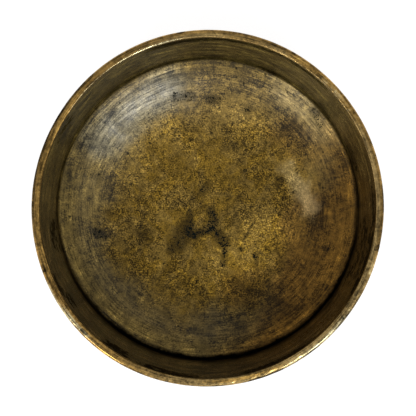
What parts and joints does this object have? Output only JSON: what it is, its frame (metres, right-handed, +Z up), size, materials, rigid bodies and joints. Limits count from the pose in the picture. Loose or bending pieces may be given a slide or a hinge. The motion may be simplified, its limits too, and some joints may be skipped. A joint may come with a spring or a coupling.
{
  "type": "singing bowl",
  "caption": "Hammered bronze singing bowl with a dished floor, a tight corner, a steep slightly flared wall and a thickened flat lip.",
  "frame": {"origin": "centre of the flattened foot, on the surface that the bowl stands on", "axes": "+Z up along the bowl's centre line; the long diameter of the slightly oval rim lies 77 degrees round from +X towards +Y"},
  "size_m": [0.1986, 0.2013, 0.09],
  "materials": {
    "aged_bronze": "aged satin bronze with a golden-brown patina, scrape marks and dark stains"
  },
  "bodies": {
    "root": {"bowl": "aged_bronze"}
  },
  "joints": []
}
